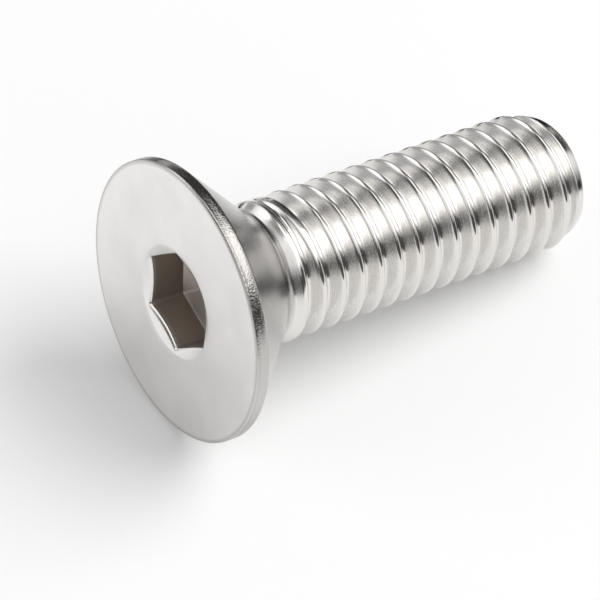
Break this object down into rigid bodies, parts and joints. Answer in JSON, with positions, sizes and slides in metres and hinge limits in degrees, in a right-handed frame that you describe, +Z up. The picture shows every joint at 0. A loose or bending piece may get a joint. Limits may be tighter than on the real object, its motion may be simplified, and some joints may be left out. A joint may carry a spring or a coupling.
{
  "type": "countersunk socket screw",
  "caption": "Countersunk machine screw with a flat-faced conical head, a hexagon socket and a right-hand thread up to a short neck, lying on its side.",
  "frame": {"origin": "on the surface the screw lies on, under the middle of its bounding box", "axes": "+Z up, +X from the head to the tip; the screw lies on the rim of its head and on its thread, so its axis dips 9.9 degrees below +X towards the tip"},
  "size_m": [0.0264, 0.0156, 0.0156],
  "materials": {
    "steel": "plain stainless steel: satin face, rolled thread with bright flanks"
  },
  "bodies": {
    "root": {"countersunk_screw": "steel"}
  },
  "joints": []
}
